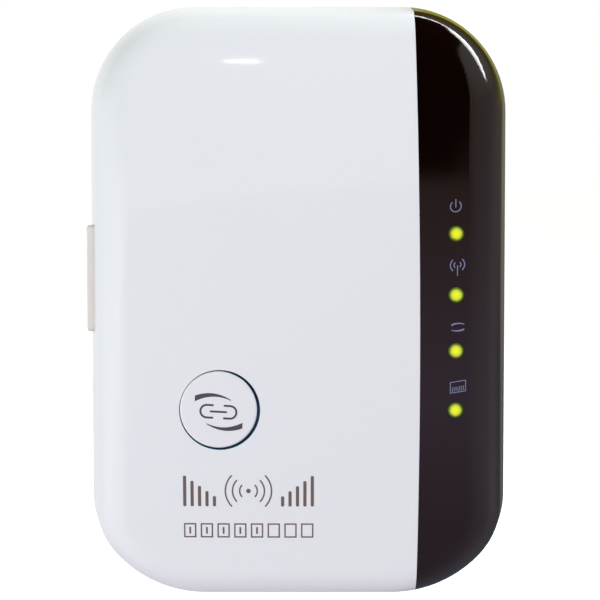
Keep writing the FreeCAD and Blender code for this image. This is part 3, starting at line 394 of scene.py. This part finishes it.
class Print:
    """Flat ink laid on a CAD node: strips of quads, dropped on to its front surface."""

    def __init__(self, name, node, centre, turn=0.0, slant=0.0):
        self.name = name
        mesh = frame["nodes"][node].data
        points = [vertex.co for vertex in mesh.vertices]
        faces = [tuple(polygon.vertices) for polygon in mesh.polygons]
        self.tree = BVHTree.FromPolygons(points, faces)
        self.centre = centre
        self.turn = math.radians(turn)
        self.slant = math.tan(math.radians(slant))
        self.mesh = bmesh.new()

    def drop(self, across, upward):
        """The points in front of and behind the surface, at a place given in millimetres."""
        upward = upward + across * self.slant
        x = across * math.cos(self.turn) - upward * math.sin(self.turn)
        z = across * math.sin(self.turn) + upward * math.cos(self.turn)
        start = Vector((self.centre.x + x * MM, FRONT_Y - 0.01, self.centre.z + z * MM))
        hit, normal, index, distance = self.tree.ray_cast(start, Vector((0, 1, 0)))
        return hit + Vector((0, -INK_PROUD, 0)), hit + Vector((0, INK_SUNK, 0))

    def ribbon(self, left, right):
        """A closed solid strip between two rows of (across, upward) points."""
        rows = []
        for pair in zip(left, right):
            fronts = [self.drop(*point) for point in pair]
            corners = [fronts[0][0], fronts[1][0], fronts[1][1], fronts[0][1]]
            rows.append([self.mesh.verts.new(corner) for corner in corners])
        for here, there in zip(rows, rows[1:]):
            for side in range(4):
                following = (side + 1) % 4
                self.mesh.faces.new((here[side], here[following], there[following], there[side]))
        self.mesh.faces.new(rows[0][::-1])
        self.mesh.faces.new(rows[-1])

    def arc(self, radius, width, start, end, x=0.0, z=0.0):
        """Part of a ring, from one angle to another in degrees, in steps of about 8 degrees."""
        steps = max(6, int(abs(end - start) / 8))
        inner, outer = [], []
        for step in range(steps + 1):
            angle = math.radians(start + (end - start) * step / steps)
            for row, reach in ((inner, radius - width / 2), (outer, radius + width / 2)):
                row.append((x + reach * math.cos(angle), z + reach * math.sin(angle)))
        self.ribbon(inner, outer)

    def bar(self, x, z, width, height):
        """A plain bar with softened corners."""
        steps = 6
        corner = min(width, height) * 0.35
        ends = []
        for step in range(steps + 1):
            angle = math.pi / 2 * step / steps
            ends.append((corner * (1 - math.sin(angle)), corner * (1 - math.cos(angle))))
        straight = height - 2 * corner
        count = max(1, math.ceil(straight / INK_STEP))
        rows = [(inset, rise) for inset, rise in ends]
        rows += [(0.0, corner + straight * index / count) for index in range(1, count)]
        rows += [(inset, height - rise) for inset, rise in reversed(ends)]
        left = [(x - width / 2 + inset, z - height / 2 + rise) for inset, rise in rows]
        right = [(x + width / 2 - inset, z - height / 2 + rise) for inset, rise in rows]
        self.ribbon(left, right)

    def dot(self, x, z, radius):
        """A filled round spot."""
        left, right = [], []
        steps = 16
        for step in range(1, steps):
            angle = math.pi * step / steps
            left.append((x - radius * math.sin(angle), z - radius * math.cos(angle)))
            right.append((x + radius * math.sin(angle), z - radius * math.cos(angle)))
        self.ribbon(left, right)

    def frame(self, x, z, width, height, line):
        """The outline of a rectangle."""
        self.bar(x - width / 2, z, line, height + line)
        self.bar(x + width / 2, z, line, height + line)
        self.bar(x, z - height / 2, width, line)
        self.bar(x, z + height / 2, width, line)

    def stroke(self, length, centre, bow, start, end):
        """A bowed brush stroke about its centre; start and end are its widths."""
        steps = 14
        above, below = [], []
        for step in range(steps + 1):
            share = step / steps
            x = centre[0] + (share - 0.5) * length
            z = centre[1] + bow * (1 - (2 * share - 1) ** 2)
            half = (start + (end - start) * share) / 2
            above.append((x, z + half))
            below.append((x, z - half))
        self.ribbon(above, below)

    def finish(self, material, body):
        """Make the object, and let it ride on its body."""
        bmesh.ops.recalc_face_normals(self.mesh, faces=self.mesh.faces)
        data = bpy.data.meshes.new(self.name)
        self.mesh.to_mesh(data)
        self.mesh.free()
        piece = bpy.data.objects.new(self.name, data)
        bpy.context.scene.collection.objects.link(piece)
        data.materials.append(material)
        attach(piece, body)


def ink(name, colour, roughness):
    """Screen-printing ink: slightly uneven in colour and gloss."""
    surface = Surface(name)
    cover = surface.noise(1500.0, 4.0)
    surface.colour(surface.mix(cover, shade(colour, 0.85), shade(colour, 1.15)))
    surface.roughness(cover, roughness * 0.8, roughness * 1.2)
    surface.bump(surface.noise(6000.0, 2.0), 2e-6)
    return surface.material


def case_print(material):
    """The plain signal motif at the lower left of the front: broadcast arcs over a level scale."""
    centre = CASE_MIDDLE + Vector((-9.05 * MM, 0, -36.3 * MM))
    motif = Print("case_print", "front_cover", centre)
    upper_row = 2.75
    arc_spread = 44
    for turn in (0, 180):
        for index in range(3):
            motif.arc(1.6 + 1.3 * index, 0.28, turn - arc_spread, turn + arc_spread, 0, upper_row)
    motif.dot(0, upper_row, 0.42)
    bar_foot = upper_row - 2.9
    for side in (-1, 1):
        for index in range(5):
            height = 1.9 + 0.95 * index
            motif.bar(side * (6.2 + 1.35 * index), bar_foot + height / 2, 0.58, height)
    lower_row = -4.7
    box_count = 8
    box_spacing = 3.05
    filled = 5
    for index in range(box_count):
        x = (index - (box_count - 1) / 2) * box_spacing
        motif.frame(x, lower_row, 2.0, 2.45, 0.26)
        if index < filled:
            motif.bar(x, lower_row, 0.34, 1.3)
    motif.finish(material, "case")


def button_print(material):
    """The button's sign: two joined links between two tapering strokes, printed slightly askew."""
    centre = Vector((BUTTON.x, 0, BUTTON.z - 0.35 * MM))
    sign = Print("button_print", "pairing_button", centre, turn=-3.0)
    line = 0.36
    link_radius = 1.15
    for side in (-1, 1):
        facing = 90 - 90 * side
        sign.arc(link_radius, line, facing - 90, facing + 90, side * 2.1, 0)
        for edge in (-1, 1):
            sign.bar(side * 1.55, edge * link_radius, 1.3, line)
    sign.bar(0, 0, 3.1, line)
    sign.stroke(6.5, (-1.1, 2.2), 0.80, 1.05, 0.16)
    sign.stroke(6.5, (1.2, -2.3), -0.80, 0.16, 1.05)
    sign.finish(material, "button")


def panel_print(material):
    """Four small signs on the black panel, one above each lamp."""
    def sign(name, lamp, across, rise, slant):
        """A print on the panel, placed from its lamp in millimetres."""
        place = LAMPS[lamp] + Vector((across * MM, 0, rise * MM))
        return Print(name, "indicator_panel", place, slant=slant)

    power = sign("sign_power", 0, -0.1, 4.9, 5.0)
    power.arc(0.98, 0.19, 128, 412)
    power.bar(0, 0.55, 0.19, 1.5)
    power.finish(material, "case")

    wireless = sign("sign_wireless", 1, 0.2, 4.95, 5.0)
    wireless.bar(0.0, -0.55, 0.18, 1.9)
    for turn in (0, 180):
        for radius in (0.62, 1.28):
            wireless.arc(radius, 0.20, turn - 50, turn + 50, 0, 0.45)
    wireless.finish(material, "case")

    link = sign("sign_link", 2, 0.3, 4.3, 5.0)
    link.stroke(2.3, (0.0, 0.45), 0.22, 0.36, 0.16)
    link.stroke(2.3, (0.0, -0.45), -0.22, 0.16, 0.36)
    link.finish(material, "case")

    network = sign("sign_network", 3, 0.4, 4.3, 9.0)
    network.frame(0, 0, 2.75, 1.95, 0.15)
    for index in range(-3, 4):
        network.bar(index * 0.33, -0.35, 0.12, 0.85)
    network.finish(material, "case")


# ---- studio ----------------------------------------------------------------------------------------
def world():
    """What the gloss mirrors: greys in front under a dark card, white to the left, dim behind."""
    backdrop = bpy.data.worlds.new("studio")
    bpy.context.scene.world = backdrop
    backdrop.use_nodes = True
    graph = Graph(backdrop.node_tree, "Generated")
    split = graph.add("ShaderNodeSeparateXYZ")
    graph.link(graph.place, split, 0)
    x, y, z = split.outputs
    height = graph.math("MULTIPLY_ADD", z, 0.5, 0.5)

    front = graph.ramp(height, [
        (0.00, (0.38, 0.31, 0.40)),
        (0.25, (0.45, 0.33, 0.42)),
        (0.37, (0.66, 0.51, 0.68)),
        (0.47, (0.54, 0.40, 0.50)),
        (0.58, (0.40, 0.27, 0.27)),
        (0.66, (0.38, 0.28, 0.22)),
        (0.75, (0.75, 0.68, 0.60)),
        (1.00, (0.80, 0.78, 0.74)),
    ])
    right_share = graph.math("MULTIPLY", graph.within(x, 0.15, 0.70), 0.30)
    front = graph.mix(right_share, front, (0.95, 0.88, 0.98))
    front = graph.mix(graph.within(x, -0.25, -0.6), front, (1.05, 0.99, 0.99))

    right = graph.ramp(height, [
        (0.00, (0.18, 0.26, 0.32)),
        (0.25, (0.12, 0.18, 0.22)),
        (0.45, (0.12, 0.12, 0.12)),
        (0.53, (0.24, 0.22, 0.15)),
        (0.57, (0.40, 0.39, 0.06)),
        (0.61, (0.30, 0.27, 0.03)),
        (0.68, (0.12, 0.10, 0.02)),
        (0.85, (0.20, 0.13, 0.01)),
    ])
    left = graph.mix(graph.within(z, -0.9, 0.0), (0.60, 0.62, 0.72), (1.00, 1.00, 1.00))
    left = graph.mix(graph.within(z, 0.3, 0.9), left, (0.90, 0.75, 0.75))
    behind = graph.mix(graph.within(x, 0.02, 0.09), left, right)
    soon = graph.within(y, 0.05, 0.30)
    late = graph.within(y, 0.0, 0.85)
    around = graph.mix(graph.mix(graph.within(x, 0.02, 0.30), soon, late), front, behind)

    # The card hangs over the front: its lower edge is level, and its right edge bows outward.
    edge_bow = graph.math("MULTIPLY", graph.math("MULTIPLY", z, z), 0.65)
    left_of_edge = graph.within(graph.math("SUBTRACT", x, edge_bow), 0.20, 0.14)
    card = graph.math("MULTIPLY", graph.within(z, 0.185, 0.225), left_of_edge)
    card = graph.math("MULTIPLY", card, graph.within(y, 0.45, 0.25))
    around = graph.mix(card, around, (0.004, 0.001, 0.0))
    seen = graph.add("ShaderNodeLightPath").outputs["Is Camera Ray"]
    graph.link(graph.mix(seen, around, (1.0, 1.0, 1.0)), graph.nodes["Background"], "Color")


def softbox(name, direction, distance, size, power, along=(1.0, 0.0, 0.0), mirrored=False):
    """A rectangular light that faces the case, its first side turned along; gloss may mirror it."""
    data = bpy.data.lights.new(name, "AREA")
    data.shape = "RECTANGLE"
    data.size, data.size_y = size
    data.energy = power
    data.color = (1.0, 1.0, 1.0) if mirrored else (0.93, 1.0, 0.98)
    lamp = bpy.data.objects.new(name, data)
    back = Vector(direction).normalized()
    upright = back.cross(Vector(along)).normalized()
    lamp.matrix_world = Matrix((upright.cross(back), upright, back)).transposed().to_4x4()
    lamp.location = CASE_MIDDLE + back * distance
    lamp.visible_glossy = mirrored
    bpy.context.scene.collection.objects.link(lamp)
    return lamp


def lights():
    """A very large soft key, a weak fill, and small lamps that only the gloss is seen to mirror."""
    softbox("key", (-0.41, -0.83, 0.40), 1.2, (1.6, 1.6), 12.25)
    softbox("fill", (0.15, -0.65, -0.75), 1.3, (1.2, 1.2), 3.6)
    tube = (0.66, -0.49, -0.39)
    softbox("tube", (0.54, 0.15, 0.74), 0.9, (1.05, 0.07), 2.8, tube, mirrored=True)
    end = softbox("tube_end", (0.66, 0.00, 0.68), 0.9, (0.60, 0.20), 3.6, tube, mirrored=True)
    end.data.shape = "ELLIPSE"
    glint = softbox("glint", (-0.076, -0.90, 0.486), 0.8, (0.042, 0.0035), 0.036, mirrored=True)
    glint.data.shape = "ELLIPSE"


def floor():
    """A plain pale floor, well below the object."""
    drop = cad_low.z - 30 * MM
    reach = 30.0
    mesh = bmesh.new()
    corners = [(-reach, -reach), (reach, -reach), (reach, reach), (-reach, reach)]
    mesh.faces.new([mesh.verts.new((x, y, drop)) for x, y in corners])
    data = bpy.data.meshes.new("floor")
    mesh.to_mesh(data)
    mesh.free()
    slab = bpy.data.objects.new("floor", data)
    bpy.context.scene.collection.objects.link(slab)
    surface = Surface("floor", roughness=0.9)
    surface.colour(surface.mix(surface.noise(3.0, 2.0), (0.86, 0.86, 0.86), (0.88, 0.88, 0.88)))
    surface.shader.inputs["Emission Color"].default_value = (1.0, 1.0, 1.0, 1.0)
    surface.shader.inputs["Emission Strength"].default_value = 0.75
    data.materials.append(surface.material)
    slab.visible_diffuse = False
    slab.visible_glossy = False


def camera():
    """A long lens, square to the front and a little above it."""
    lens = 126.8
    distance = 0.400
    elevation = math.radians(3.42)
    aim = Vector((CASE_MIDDLE.x + 0.31 * MM, PARTING_Y, CASE_MIDDLE.z + 0.09 * MM))
    data = bpy.data.cameras.new("camera")
    data.lens = lens
    data.sensor_width = 36.0
    data.clip_start = 0.01
    view = bpy.data.objects.new("camera", data)
    back = Vector((0.0, -math.cos(elevation), math.sin(elevation)))
    view.location = aim + back * distance
    view.rotation_euler = back.to_track_quat("Z", "Y").to_euler()
    bpy.context.scene.collection.objects.link(view)
    bpy.context.scene.camera = view


camera()
dress_nodes(build_materials())
case_print(ink("case_ink", (0.150, 0.110, 0.100), 0.45))
button_print(ink("button_ink", (0.070, 0.060, 0.095), 0.45))
panel_print(ink("panel_ink", (0.190, 0.200, 0.370), 0.5))
world()
lights()
floor()
bpy.context.scene.view_settings.view_transform = "Standard"
